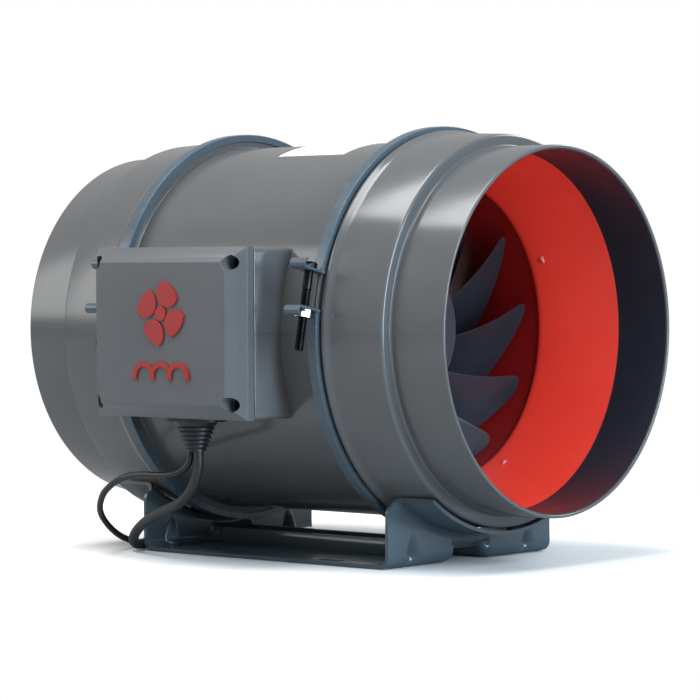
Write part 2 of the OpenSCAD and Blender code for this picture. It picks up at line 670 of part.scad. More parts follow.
// Mains lead: from the gland, down and back past the cradle's corner, then to its coil
mains_coil_at = [-168.5, 70];
mains_coil_r = 42;
mains_route = [[-13, -136, 76], [-13, -136, 66], [-16, -136, 56], [-23, -135, 47],
    [-34, -133, 40], [-46, -130, 36], [-60, -125, 32], [-75, -119, 27], [-91, -112, 21],
    [-105, -105, 13.5], [-112.5, -99, 7.5], [-118.5, -89, 4.2], [-122.5, -76, 3.6],
    [-125.5, -62, 3.6], [-127, -46, 3.6], [-127.5, -30, 3.6], [-127, -14, 3.6],
    [-126, 2, 3.6], [-125, 18, 3.6], [-124, 35, 3.6], [-123, 53, 3.6], [-123, 70, 3.6]];
module mains_lead() color(black) cord(mains_route, mains_d, 12);

// Control lead: a wider loop that lands further back and passes round the first coil
control_coil_at = [-274, 168];
control_coil_r = 27;
control_route = [[-19, -137, 76], [-19, -138, 70], [-22.5, -139, 64.5], [-30, -141, 60.5],
    [-44, -142, 59], [-57, -142, 59], [-69, -142, 58], [-82, -141, 55], [-93, -139, 50.5],
    [-104, -136, 44], [-114, -130, 36], [-121, -123, 29], [-126, -114, 22], [-130, -103, 15],
    [-133, -91, 9], [-136, -78, 5], [-141, -64, 2.4], [-148, -50, 2.4], [-153, -36, 2.4],
    [-158, -22, 2.4], [-165, -9, 2.4], [-174, 2, 2.4], [-185, 11, 2.4], [-197, 20, 2.4],
    [-208, 31, 2.4], [-217, 45, 2.4], [-223, 59, 2.4], [-228, 73, 2.4], [-235, 86, 2.4],
    [-246, 97, 2.4], [-259, 106, 2.4], [-272, 115, 2.4], [-284, 127, 2.4],
    [-294, 140, 2.4], [-301, 154, 2.4], [-303.3, 168, 2.4]];
module control_lead() color(black) cord(control_route, control_d, 8);

// The stored length of a cord: a ring two turns wide and three turns high
module coil(at, r, d)
    translate([at[0], at[1], 0]) rotate_extrude($fn = 96)
        translate([r, 1.5 * d]) round_rect(2 * d, 3 * d, d / 2);
module mains_coil() color(black) coil(mains_coil_at, mains_coil_r, mains_d);
module control_coil() color(black) coil(control_coil_at, control_coil_r, control_d);

// A strap round a coil's turns at an angle
module tie(at, r, d, angle, w)
    translate([at[0], at[1], 0]) rotate([0, 0, angle]) translate([r, w / 2, 1.5 * d])
        rotate([90, 0, 0]) linear_extrude(w) difference() {
            translate([0, 0.5]) round_rect(2 * d + 2, 3 * d + 1, d / 2);
            round_rect(2 * d, 3 * d - 2, d / 2 - 0.2);
        }
module mains_tie() color(black) tie(mains_coil_at, mains_coil_r, mains_d, 200, 12);
module control_tie() color(black) tie(control_coil_at, control_coil_r, control_d, 20, 8);

// Moulded mains plug with two pins, its long strain relief on the coil's outer turn
plug_angle = 165;
plug_z = 10.6;
module mains_plug() color(black)
    translate([mains_coil_at[0] + 45.5 * cos(75), mains_coil_at[1] + 45.5 * sin(75), plug_z])
        rotate([0, 0, plug_angle]) {
            rotate([0, 90, 0]) cylinder(r1 = 3.9, r2 = 7, h = 38, $fn = 48);
            translate([38, 0, 0]) intersection() {
                translate([0, 0, -10.5]) linear_extrude(21) translate([18, 0]) round_rect(36, 32, 7);
                rotate([90, 0, 90]) linear_extrude(36) round_rect(32, 21, 8);
            }
            for (s = [-1, 1]) translate([73.9, 9.5 * s, 0]) rotate([0, 90, 0])
                cylinder(r = 2.4, h = 19, $fn = 32);
        }

// Small round connector on the control lead's coil
module control_plug() color(black)
    translate([control_coil_at[0] - 29.2 * cos(70), control_coil_at[1] + 29.2 * sin(70), 7])
        rotate([0, 0, 20]) rotate([0, 90, 0]) {
            cylinder(r1 = 2.6, r2 = 5, h = 22, $fn = 48);
            translate([0, 0, 21.9]) cylinder(r = 7, h = 22, $fn = 64);
            translate([0, 0, 43.8]) difference() {
                cylinder(r = 5.5, h = 9, $fn = 64);
                translate([0, 0, 2]) cylinder(r = 4.5, h = 8, $fn = 64);
            }
        }

casing();
terminal_box();
inlet_collar();
outlet_collar();
inlet_seal();
outlet_seal();
inlet_band();
outlet_band();
clamp_screws();
clamp_nuts();
inlet_bell();
bell_screws();
impeller_duct();
duct_screws();
impeller_hub();
impeller_blades();
rotor_can();
rotor_magnets();
motor_shaft();
shaft_nut();
bearing_inner_rings();
bearing_balls();
bearing_cages();
bearing_outer_rings();
stator_core();
stator_windings();
motor_board();
motor_mount();
motor_screws();
guide_vanes();
motor_lead();
lead_grommet();
box_lid();
lid_seal();
lid_screws();
lid_emblem();
control_board();
board_screws();
terminal_block();
cradle();
cradle_screws();
rating_label();
cable_gland();
mains_lead();
mains_coil();
mains_tie();
mains_plug();
control_lead();
control_coil();
control_tie();
control_plug();
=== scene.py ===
# %% [markdown]
# # An inline duct fan
# This lesson dresses a finished mechanical model of a duct fan for a product view. Every
# visible shell is then given a clean mesh with soft edges, because light shows on an edge
# before it shows anywhere else.

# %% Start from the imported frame
import bpy
import bmesh
import math
from mathutils import Matrix, Vector


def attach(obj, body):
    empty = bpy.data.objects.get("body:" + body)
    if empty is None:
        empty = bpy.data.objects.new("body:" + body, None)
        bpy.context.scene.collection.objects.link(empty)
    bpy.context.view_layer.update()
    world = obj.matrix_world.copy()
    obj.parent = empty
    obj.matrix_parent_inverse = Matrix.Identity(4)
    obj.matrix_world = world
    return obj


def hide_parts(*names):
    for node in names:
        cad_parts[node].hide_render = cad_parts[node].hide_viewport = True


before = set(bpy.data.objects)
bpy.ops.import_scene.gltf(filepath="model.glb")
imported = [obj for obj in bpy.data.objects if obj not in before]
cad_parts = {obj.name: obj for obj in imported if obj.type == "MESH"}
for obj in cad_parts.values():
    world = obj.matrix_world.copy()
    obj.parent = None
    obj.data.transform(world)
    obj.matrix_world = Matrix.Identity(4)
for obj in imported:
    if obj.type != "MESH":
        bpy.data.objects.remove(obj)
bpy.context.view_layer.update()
MM = 0.001
AXIS_MM = 156.5
AXIS_Z = AXIS_MM * MM

# %% [markdown]
# ## Camera
# The fan is seen from its inlet end, a little above the axis, through a long lens. A small
# lens shift keeps the upright edges upright, as on a view camera.

# %% Place the camera
camera_data = bpy.data.cameras.new("view_camera")
camera = bpy.data.objects.new("view_camera", camera_data)
bpy.context.scene.collection.objects.link(camera)
bpy.context.scene.camera = camera
CAMERA_AT = Vector((1.3937, -1.5932, 0.1989))
PAN, TILT, ROLL = math.radians(40.55), math.radians(2.11), math.radians(0.19)
camera.rotation_euler = (Matrix.Rotation(PAN, 4, "Z") @ Matrix.Rotation(math.pi / 2 - TILT, 4, "X")
                         @ Matrix.Rotation(-ROLL, 4, "Z")).to_euler()
camera.location = CAMERA_AT
camera_data.sensor_width = 36
camera_data.lens = 154.57
camera_data.shift_x = -0.0407
camera_data.shift_y = 0.0416
camera_data.clip_end = 20
print("camera", round((CAMERA_AT - Vector((0, 0, AXIS_Z))).length, 3), "m from the fan")

# %% [markdown]
# ## Colour and node helpers
# Colours are written as the hex values a paint chart gives, and one function turns them into
# the linear values that the renderer mixes. One small function adds a node to a tree.

# %% Helpers for materials
def linear(hex_colour):
    parts = [int(hex_colour[i:i + 2], 16) / 255 for i in (1, 3, 5)]
    return tuple(c / 12.92 if c <= 0.04045 else ((c + 0.055) / 1.055) ** 2.4 for c in parts) + (1,)


def add(tree, kind, inputs=None, **settings):
    """Adds one node. An input is a plain value or another node's output socket."""
    made = tree.nodes.new(kind)
    for name, value in settings.items():
        setattr(made, name, value)
    for name, value in (inputs or {}).items():
        if isinstance(value, bpy.types.NodeSocket):
            tree.links.new(value, made.inputs[name])
        else:
            made.inputs[name].default_value = value
    return made


def blank(name):
    """A material with only a Principled shader, its tree and its Object coordinates."""
    made = bpy.data.materials.new(name)
    made.use_nodes = True
    tree = made.node_tree
    return made, tree, tree.nodes["Principled BSDF"], tree.nodes.new("ShaderNodeTexCoord").outputs["Object"]


def tint(tree, where, low, high, scale, detail=3.0):
    """A soft change of colour between two hex values, with a noise of the given scale per metre."""
    noise = add(tree, "ShaderNodeTexNoise", {"Vector": where, "Scale": scale, "Detail": detail})
    ramp = add(tree, "ShaderNodeValToRGB", {"Fac": noise.outputs["Fac"]})
    ramp.color_ramp.elements[0].position, ramp.color_ramp.elements[1].position = 0.35, 0.65
    ramp.color_ramp.elements[0].color, ramp.color_ramp.elements[1].color = linear(low), linear(high)
    return ramp.outputs["Color"]


def roughness(tree, where, low, high, scale):
    noise = add(tree, "ShaderNodeTexNoise", {"Vector": where, "Scale": scale, "Detail": 4.0})
    return add(tree, "ShaderNodeMapRange", {"Value": noise.outputs["Fac"], "From Min": 0.3,
               "From Max": 0.7, "To Min": low, "To Max": high}).outputs["Result"]


def bump(tree, height, depth_mm, strength=1.0):
    return add(tree, "ShaderNodeBump", {"Height": height, "Distance": depth_mm * MM,
               "Strength": strength}).outputs["Normal"]


def per_metre(size_mm):
    """The scale at which a noise has features of about this size."""
    return 1000 / size_mm

# %% [markdown]
# ## Moulded and painted finishes
# Casing, collars and lid are injection-moulded ABS: a hard gloss over a very faint ripple, so
# long highlights waver slightly. The bands and the cradle carry powder coat, whose ripple is
# coarser, the orange peel of a baked finish. Both are non-metals on the surface.

# %% Moulded plastics
def moulded(name, low, high, gloss=(0.2, 0.3), ripple_mm=0.012, ripple_size=9, grain_mm=0.0):
    made, tree, shader, where = blank(name)
    tree.links.new(tint(tree, where, low, high, per_metre(60)), shader.inputs["Base Color"])
    tree.links.new(roughness(tree, where, gloss[0], gloss[1], per_metre(14)), shader.inputs["Roughness"])
    ripple = add(tree, "ShaderNodeTexNoise",
                 {"Vector": where, "Scale": per_metre(ripple_size), "Detail": 2.0})
    normal = bump(tree, ripple.outputs["Fac"], ripple_mm)
    if grain_mm:
        grain = add(tree, "ShaderNodeTexNoise", {"Vector": where, "Scale": per_metre(0.8), "Detail": 2.0})
        normal = add(tree, "ShaderNodeBump", {"Height": grain.outputs["Fac"], "Distance": grain_mm * MM,
                     "Strength": 0.7, "Normal": normal}).outputs["Normal"]
    tree.links.new(normal, shader.inputs["Normal"])
    shader.inputs["IOR"].default_value = 1.53
    return made


LARGE_SHELL = {"ripple_mm": 0.006, "ripple_size": 30}
grey_abs = moulded("moulded_grey_abs", "#555657", "#595a5b", gloss=(0.16, 0.2), **LARGE_SHELL)
lid_abs = moulded("moulded_lid_abs", "#56585b", "#5a5c5f", gloss=(0.3, 0.36), grain_mm=0.005)
# Painted shade: a dark navy for the shade deep inside the spigot bores.
bore_shade_abs = moulded("painted_bore_shade", "#222b35", "#26303a", gloss=(0.3, 0.4), **LARGE_SHELL)
red_abs = moulded("moulded_red_abs", "#ea3a2b", "#ef4030", gloss=(0.3, 0.38), **LARGE_SHELL)
# Painted shade: the bell's red made darker for the shade inside the impeller duct.
red_duct_shaded_abs = moulded("red_duct_painted_shade", "#8f0f0b", "#96130e", gloss=(0.35, 0.45), **LARGE_SHELL)
emblem_abs = moulded("moulded_red_sign", "#9c1d1b", "#a3211f", gloss=(0.3, 0.4), grain_mm=0.005)
blade_nylon = moulded("glass_filled_nylon", "#262b32", "#2e343c", gloss=(0.3, 0.4), grain_mm=0.012)
black_plug = moulded("moulded_black_plug", "#151617", "#1a1b1c", gloss=(0.45, 0.6), grain_mm=0.02)
terminal_pa = moulded("terminal_polyamide", "#1d1f22", "#24262a", gloss=(0.5, 0.6))
ferrite = moulded("bonded_ferrite", "#2d2d2f", "#343436", gloss=(0.6, 0.75), grain_mm=0.03)
print("moulded finishes ready")

# %% Powder coat, rubber, metals
def powder_coat(name, low, high, gloss=(0.22, 0.32)):
    """Baked powder: even colour, and an orange peel of about 2 mm."""
    made, tree, shader, where = blank(name)
    tree.links.new(tint(tree, where, low, high, per_metre(45)), shader.inputs["Base Color"])
    tree.links.new(roughness(tree, where, gloss[0], gloss[1], per_metre(10)), shader.inputs["Roughness"])
    peel = add(tree, "ShaderNodeTexNoise", {"Vector": where, "Scale": per_metre(2.4), "Detail": 1.5})
    tree.links.new(bump(tree, peel.outputs["Fac"], 0.008), shader.inputs["Normal"])
    return made


def rubber(name, low, high, gloss=(0.5, 0.65), grain=0.9):
    """Moulded or extruded rubber: dark, soft gloss and a fine even grain."""
    made, tree, shader, where = blank(name)
    tree.links.new(tint(tree, where, low, high, per_metre(20)), shader.inputs["Base Color"])
    tree.links.new(roughness(tree, where, gloss[0], gloss[1], per_metre(5)), shader.inputs["Roughness"])
    fine = add(tree, "ShaderNodeTexNoise", {"Vector": where, "Scale": per_metre(grain), "Detail": 3.0})
    tree.links.new(bump(tree, fine.outputs["Fac"], 0.03), shader.inputs["Normal"])
    return made


def metal(name, low, high, gloss=(0.25, 0.4), scratch_mm=0.7, depth=0.008):
    """Bare or plated metal: tinted reflections broken by fine machining marks."""
    made, tree, shader, where = blank(name)
    tree.links.new(tint(tree, where, low, high, per_metre(12)), shader.inputs["Base Color"])
    tree.links.new(roughness(tree, where, gloss[0], gloss[1], per_metre(4)), shader.inputs["Roughness"])
    marks = add(tree, "ShaderNodeTexNoise", {"Vector": where, "Scale": per_metre(scratch_mm), "Detail": 4.0})
    tree.links.new(bump(tree, marks.outputs["Fac"], depth), shader.inputs["Normal"])
    shader.inputs["Metallic"].default_value = 1.0
    return made


band_paint = powder_coat("band_powder_coat", "#44525c", "#485761")
cradle_paint = powder_coat("cradle_powder_coat", "#46525a", "#4b5860", gloss=(0.16, 0.22))
# Painted glint: pale pink on the bell screw heads stands in for their light specks in the red bell.
pink_screw_glint = powder_coat("pink_screw_glint", "#d08078", "#d88a82")
seal_rubber = rubber("seal_rubber", "#17181a", "#1d1e20")
gland_rubber = rubber("gland_rubber", "#1a1c1e", "#1f2123", gloss=(0.35, 0.45))
mains_jacket = rubber("mains_cord_jacket", "#1e1f20", "#232425", gloss=(0.38, 0.5))
control_jacket = rubber("control_cord_jacket", "#121314", "#161718", gloss=(0.3, 0.42))
strap_weave = rubber("woven_strap", "#151516", "#1c1c1e", gloss=(0.8, 0.95), grain=1.4)
black_oxide = metal("black_oxide_steel", "#1c1d1f", "#26282b", gloss=(0.28, 0.4))
zinc_plate = metal("zinc_plated_steel", "#a9acb0", "#b8bbbf")
ground_steel = metal("ground_bearing_steel", "#c4c6c9", "#cfd1d4", gloss=(0.1, 0.2))
cage_brass = metal("pressed_brass", "#b98d4a", "#c59a56")
core_sheet = metal("laminated_core_steel", "#77797d", "#85878b", gloss=(0.4, 0.55))
wound_copper = metal("enamelled_copper", "#a9602f", "#b86c37", gloss=(0.3, 0.4))
cast_alloy = metal("die_cast_aluminium", "#a4a6a8", "#b2b4b6", gloss=(0.45, 0.6), scratch_mm=1.5, depth=0.03)
board_mask = moulded("green_solder_mask", "#1b5a2c", "#216433", gloss=(0.35, 0.45))
label_vinyl = moulded("white_vinyl_label", "#e4e4e2", "#ecece9", gloss=(0.35, 0.45))
print("coats, rubbers and metals ready")

# %% [markdown]
# ## Meshes that turn about the duct axis
# Most of the fan is turned: collars, bands, bell, hub. Each is an outline of radius against
# x, closed, with its corners rounded by small arcs before it is spun. A rounded corner 1 mm
# across is what draws the thin bright line along every rim.

# %% Rounded outlines and spun meshes
def in_metres(outline):
    return [(r * MM, along * MM) for r, along in outline]


def rounded(points, radii, steps=5):
    """A closed outline with each corner replaced by an arc that touches both of its sides."""
    made = []
    for i, (here, radius) in enumerate(zip(points, radii)):
        here, before, after = Vector(here), Vector(points[i - 1]), Vector(points[(i + 1) % len(points)])
        a, b = (before - here).normalized(), (after - here).normalized()
        half = a.angle(b) / 2
        if radius <= 0 or half > 1.55:
            made.append(here)
            continue
        reach = min(radius / math.tan(half), 0.49 * (before - here).length, 0.49 * (after - here).length)
        centre = here + (a + b).normalized() * (reach / math.cos(half))
        start, end = here + a * reach - centre, here + b * reach - centre
        turn = start.angle_signed(end) if start.length > 0 else 0
        for k in range(steps + 1):
            made.append(centre + Matrix.Rotation(-turn * k / steps, 2) @ start)
    return made


def rounded_mm(corners, side=1):
    """Rounded corners from (radius, x, corner radius) in millimetres. side is 1 or -1."""
    return rounded(in_metres([(r, side * x) for r, x, _ in corners]), [c * MM for _, _, c in corners])


def finished(name, mesh, paint, body, replaces=(), sharp=40):
    """Names a mesh, smooths it below an angle, gives it its finish and lets it ride on a body."""
    mesh.name = name
    made = bpy.data.objects.new(name, mesh)
    bpy.context.scene.collection.objects.link(made)
    mesh.shade_smooth()
    mesh.set_sharp_from_angle(angle=math.radians(sharp))
    mesh.materials.clear()
    mesh.materials.append(paint)
    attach(made, body)
    if replaces:
        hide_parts(*replaces)
    return made


def outward(build):
    bmesh.ops.remove_doubles(build, verts=build.verts, dist=1e-6)
    bmesh.ops.recalc_face_normals(build, faces=build.faces)
    mesh = bpy.data.meshes.new("build")
    build.to_mesh(mesh)
    build.free()
    return mesh


Z_TO_X = Matrix(((0, 0, 1, 0), (-1, 0, 0, 0), (0, 1, 0, 0), (0, 0, 0, 1)))
ALONG_DUCT = Matrix.Translation((0, 0, AXIS_Z)) @ Z_TO_X


def spin(outline, steps=224, build=None, place=ALONG_DUCT):
    """Spins a closed outline of (radius, distance along) in metres about the z line of place."""
    own = build is None
    build = build or bmesh.new()
    rings = []
    for k in range(steps):
        c, s = math.cos(2 * math.pi * k / steps), math.sin(2 * math.pi * k / steps)
        rings.append([build.verts.new(place @ Vector((p[0] * c, p[0] * s, p[1]))) for p in outline])
    for k in range(steps):
        here, there = rings[k], rings[(k + 1) % steps]
        for i in range(len(outline)):
            j = (i + 1) % len(outline)
            build.faces.new((here[i], here[j], there[j], there[i]))
    return outward(build) if own else build

# %% [markdown]
# ## The cords
# A mains lead and a thin control lead leave one rubber gland under the terminal box. Each is
# a fixed length of flex: straight out of the gland, down in a loose bend, round the corner of
# the cradle, and the rest wound into a coil behind. The route is a smooth curve through a few
# chosen points, and the coil is six turns that lie beside and on each other.

# %% Routes of the two cords
MAINS_D, CONTROL_D = 7 * MM, 4.5 * MM
MAINS_COIL, MAINS_COIL_R = Vector((-168.5, 70, 0)) * MM, 42 * MM
CONTROL_COIL, CONTROL_COIL_R = Vector((-274, 168, 0)) * MM, 27 * MM
mains_route = [(-13, -136, 76), (-13, -136, 66), (-16, -136, 56), (-23, -135, 47), (-34, -133, 40),
               (-46, -130, 36), (-60, -125, 32), (-75, -119, 27), (-91, -112, 21), (-105, -105, 13.5),
               (-112.5, -99, 7.5), (-118.5, -89, 4.2), (-122.5, -76, 3.6), (-125.5, -62, 3.6),
               (-127, -46, 3.6), (-127.5, -30, 3.6), (-127, -14, 3.6), (-126, 2, 3.6), (-125, 18, 3.6),
               (-124, 35, 3.6), (-123, 53, 3.6), (-123, 70, 3.6)]
control_route = [(-19, -137, 76), (-19, -138, 70), (-22.5, -139, 64.5), (-30, -141, 60.5), (-44, -142, 59),
                 (-57, -142, 59), (-69, -142, 58), (-82, -141, 55), (-93, -139, 50.5), (-104, -136, 44),
                 (-114, -130, 36), (-121, -123, 29), (-126, -114, 22), (-130, -103, 15), (-133, -91, 9),
                 (-136, -78, 5), (-141, -64, 2.4), (-148, -50, 2.4), (-153, -36, 2.4), (-158, -22, 2.4),
                 (-165, -9, 2.4), (-174, 2, 2.4), (-185, 11, 2.4), (-197, 20, 2.4), (-208, 31, 2.4),
                 (-217, 45, 2.4), (-223, 59, 2.4), (-228, 73, 2.4), (-235, 86, 2.4), (-246, 97, 2.4),
                 (-259, 106, 2.4), (-272, 115, 2.4), (-284, 127, 2.4), (-294, 140, 2.4), (-301, 154, 2.4),
                 (-303.3, 168, 2.4)]


def smooth_through(points, step):
    """Points of a Catmull-Rom curve through the route, about step apart."""
    points = [Vector(p) * MM for p in points]
    padded = [2 * points[0] - points[1]] + points + [2 * points[-1] - points[-2]]
    made = []
    for p0, p1, p2, p3 in zip(padded, padded[1:], padded[2:], padded[3:]):
        count = max(2, round((p2 - p1).length / step))
        for k in range(count):
            t = k / count
            made.append(0.5 * (2 * p1 + (p2 - p0) * t + (2 * p0 - 5 * p1 + 4 * p2 - p3) * t * t
                               + (3 * p1 - p0 - 3 * p2 + p3) * t ** 3))
    return made + [points[-1]]


def coil_turns(centre, mean, diameter, start, way, last):
    """Turns of a coil two wide and three high. way is 1 or -1, last is the extra angle at the end."""
    spots = [(0.5, 0.5), (-0.5, 0.5), (-0.5, 1.5), (-0.5, 2.5), (0.5, 2.5), (0.5, 1.5)]
    made = []
    total = 5 * 360 + last
    for k in range(1, round(total / 6) + 1):
        angle = min(6 * k, total)
        turn = min(int(angle // 360), 5)
        here, after = spots[turn], spots[min(turn + 1, 5)]
        blend = max(0.0, (angle % 360 - 300) / 60) if turn < 5 else 0.0
        blend = blend * blend * (3 - 2 * blend)
        across, up = (here[i] + (after[i] - here[i]) * blend for i in (0, 1))
        r, phi = mean + across * diameter, math.radians(start + way * angle)
        made.append(centre + Vector((r * math.cos(phi), r * math.sin(phi), up * diameter + 0.1 * MM)))
    return made


mains_path = (smooth_through(mains_route, 4 * MM)
              + coil_turns(MAINS_COIL, MAINS_COIL_R, MAINS_D, start=0, way=1, last=75))
control_path = (smooth_through(control_route, 3 * MM)
                + coil_turns(CONTROL_COIL, CONTROL_COIL_R, CONTROL_D, start=180, way=-1, last=70))


# %% Sweep a round jacket along a path
def swept(path, diameter, sides=14):
    """A closed tube: rings kept square to the path, carried along without twisting."""
    build = bmesh.new()
    across = Vector((0, 0, 1)).cross(path[1] - path[0])
    across = across.normalized() if across.length > 1e-9 else Vector((1, 0, 0))
    rings = []
    for i, point in enumerate(path):
        along = (path[min(i + 1, len(path) - 1)] - path[max(i - 1, 0)]).normalized()
        across = (across - along * across.dot(along)).normalized()
        other = along.cross(across)
        rings.append([build.verts.new(point + diameter / 2 * (across * math.cos(2 * math.pi * k / sides)
                      + other * math.sin(2 * math.pi * k / sides))) for k in range(sides)])
    for here, there in zip(rings, rings[1:]):
        for k in range(sides):
            build.faces.new((here[k], here[(k + 1) % sides], there[(k + 1) % sides], there[k]))
    build.faces.new(rings[0])
    build.faces.new(rings[-1])
    return outward(build)


mains_cord = finished("mains_cord", swept(mains_path, MAINS_D), mains_jacket, "housing",
                      ("mains_lead", "mains_coil"), sharp=60)
control_cord = finished("control_cord", swept(control_path, CONTROL_D, 10), control_jacket, "housing",
                        ("control_lead", "control_coil"), sharp=60)

# %% [markdown]
# ## Clean copies of the solids
# A solid arrives as loose triangles. For a piece whose shape is already right, the quickest
# good mesh is a copy with its doubles merged and its flat faces joined again, a small bevel
# on its sharp edges, and smooth shading below an angle.

# %% Refine a solid
def refined(name, node, paint, body, bevel_mm=0.0, sharp=40, segments=2, bevel_angle=35):
    build = bmesh.new()
    build.from_mesh(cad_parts[node].data)
    bmesh.ops.remove_doubles(build, verts=build.verts, dist=2e-6)
    if bevel_mm:
        bmesh.ops.dissolve_limit(build, angle_limit=math.radians(0.4), verts=build.verts, edges=build.edges)
    mesh = bpy.data.meshes.new(name)
    build.to_mesh(mesh)
    build.free()
    made = finished(name, mesh, paint, body, (node,), sharp)
    if bevel_mm:
        edge = made.modifiers.new("soft_edges", "BEVEL")
        edge.width, edge.segments = bevel_mm * MM, segments
        edge.limit_method, edge.angle_limit = "ANGLE", math.radians(bevel_angle)
        edge.harden_normals = True
    return made

# %% [markdown]
# ## Casing and collars
# The casing is a tube with a flange at each end, and the terminal box base is a second
# moulding saddled on its side. The collars are turned shapes: a lip beside the band, a drum, a
# nearly flat shoulder and a thinner spigot that the duct slides over. A dark sleeve inside each
# spigot is painted shade for the shade deep in the bore, so the red bell stands out inside.

# %% Casing and the two collars
BORE, SPIGOT, RIM, SHOULDER, BAND = 121.5, 124.0, 191.0, 147.0, 92.0
BOX_X0, BOX_X1, BOX_HALF_H, BOX_FRONT = -83.0, 56.0, 57.0, 154.0
CASING_R, FLANGE_R, POST_SIDES = 128.2, 136.5, 48
LINE_W, LINE_OUT, LINE_IN = 0.3, 129.3, 127.0


def box_loop(inset, radius=4.0):
    """(x, z) points round the terminal box in millimetres, closely spaced on the straights."""
    cx, half_w, half_h = (BOX_X0 + BOX_X1) / 2, (BOX_X1 - BOX_X0) / 2 - inset, BOX_HALF_H - inset
    radius = max(radius - inset, 0.8)
    arcs = [[(cx + sx * (half_w - radius) + radius * math.cos(math.radians(first + a)),
              sz * (half_h - radius) + radius * math.sin(math.radians(first + a))) for a in range(0, 91, 15)]
            for sx, sz, first in ((1, 1, 0), (-1, 1, 90), (-1, -1, 180), (1, -1, 270))]
    made = []
    for arc, (to_x, to_z) in zip(arcs, [a[0] for a in arcs[1:] + arcs[:1]]):
        from_x, from_z = arc[-1]
        made += arc + [(from_x + (to_x - from_x) * k / 16, from_z + (to_z - from_z) * k / 16)
                       for k in range(1, 16)]
    return made


def box_walls(build):
    """The box's walls, from a small round at the lid joint down to the round casing."""
    rings = []
    for inset, front in ((0, None), (0, BOX_FRONT - 0.7), (0.25, BOX_FRONT - 0.2), (0.7, BOX_FRONT),
                         (2.6, BOX_FRONT), (3, BOX_FRONT - 0.4), (3, None)):
        loop = [(x, front or math.sqrt(CASING_R ** 2 - z * z), z) for x, z in box_loop(inset)]
        rings.append([build.verts.new((x * MM, -depth * MM, AXIS_Z + z * MM)) for x, depth, z in loop])
    for here, there in zip(rings, rings[1:] + rings[:1]):
        for i in range(len(here)):
            j = (i + 1) % len(here)
            build.faces.new((here[i], here[j], there[j], there[i]))


def bar(build, low, high):
    """A block between two corners given in millimetres, z counted from the duct axis."""
    made = bmesh.ops.create_cube(build, size=1.0)["verts"]
    for vert in made:
        vert.co = Vector(((low[i] + (high[i] - low[i]) * (vert.co[i] + 0.5)) * MM for i in range(3)))
        vert.co.z += AXIS_Z


tube_corners = [(126, -BAND + 0.4, 0.2), (FLANGE_R, -BAND + 0.4, 0.3), (FLANGE_R, -BAND + 2.5, 0.3),
                (129, -BAND + 2.5, 1.2), (129, BAND - 2.5, 1.2), (FLANGE_R, BAND - 2.5, 0.3),
                (FLANGE_R, BAND - 0.4, 0.3), (126, BAND - 0.4, 0.2)]
casing_build = bmesh.new()
spin(rounded_mm(tube_corners), 288, casing_build)
box_build = bmesh.new()
box_walls(box_build)


def out_of_box(x, z):
    """A place on the duct's mid height whose z line points out of the terminal box."""
    return Matrix.Translation((x * MM, 0, AXIS_Z + z * MM)) @ Matrix.Rotation(math.pi / 2, 4, "X")


def post(build, radius, hole, low, mid, top, place):
    """A screw post from low to top, with a pilot hole that goes down to mid."""
    spin(in_metres([(hole, mid), (hole, top), (radius, top), (radius, low)]), POST_SIDES, build, place)


for z in (-1, 1):
    for x in (BOX_X0 + 8.5, BOX_X1 - 8.5):
        post(box_build, 6.2, 2, 118, 139, 154, out_of_box(x, z * (BOX_HALF_H - 10.5)))
    for x in (-56, -2):
        post(casing_build, 3.5, 1.5, 121, 131, 140.4, out_of_box(x, z * 39))
bar(box_build, (BOX_X1 - 0.5, -153.4, -LINE_W), (BOX_X1 + 0.25, -129, LINE_W))
bar(casing_build, (BOX_X1, -LINE_OUT, -LINE_W), (BAND - 2.4, -LINE_IN, LINE_W))
bar(casing_build, (-BAND + 2.4, -LINE_OUT, -LINE_W), (BOX_X0, -LINE_IN, LINE_W))
bar(casing_build, (-BAND + 2.4, LINE_IN, -LINE_W), (BAND - 2.4, LINE_OUT, LINE_W))
finished("casing_shell", outward(casing_build), grey_abs, "housing", ("casing",), sharp=35)
finished("terminal_box_base", outward(box_build), grey_abs, "housing", ("terminal_box",),
         sharp=35)


def collar(side, name, node):
    corners = [(BORE, RIM, 1.2), (SPIGOT, RIM, 1.2), (SPIGOT, SHOULDER + 1, 1.6), (SPIGOT + 1, SHOULDER, 0.8),
               (132.3, SHOULDER, 2.2), (134.2, BAND + 13, 6), (134.8, BAND + 11, 1.5),
               (136.3, BAND + 8.4, 1.2), (136.3, BAND + 5.9, 1.2), (133, BAND + 5.2, 0.5),
               (133, BAND + 2.5, 0.4), (FLANGE_R, BAND + 2.5, 0.3), (FLANGE_R, BAND + 0.4, 0.3),
               (130, BAND + 0.4, 0.3), (130, BAND + 6, 2), (131.2, BAND + 10, 2),
               (129.5, SHOULDER - 2.5, 1.5), (BORE, SHOULDER - 2.5, 1.2)]
    shell = spin(rounded_mm(corners, side), 256)
    return finished(name, shell, grey_abs, "housing", (node,), sharp=50)


inlet_collar = collar(1, "inlet_collar_shell", "inlet_collar")
collar(-1, "outlet_collar_shell", "outlet_collar")
# A thin dark sleeve inside each spigot: painted shade for the bore.
for side, name in ((1, "inlet_bore_shade_sleeve"), (-1, "outlet_bore_shade_sleeve")):
    sleeve = [(BORE - 0.05, side * (RIM - 1.4)), (BORE - 0.05, side * (SHOULDER - 2)),
              (BORE - 0.5, side * (SHOULDER - 2)), (BORE - 0.5, side * (RIM - 1.4))]
    finished(name, spin(in_metres(sleeve), 256), bore_shade_abs, "housing", ())
print("casing and collars:", len(inlet_collar.data.vertices), "points in a collar")

# %% [markdown]
# ## The red bell
# The bell guides air from the spigot to the blade tips. It is a thin flare that ends in a
# rolled lip where the impeller duct takes over.

# %% Bell
BELL_X0, BELL_X1, THROAT = 94.0, 149.5, 102.0


def bell_radius(x):
    return THROAT + (BORE - 0.4 - THROAT) * ((x - BELL_X0) / (BELL_X1 - BELL_X0)) ** 1.15


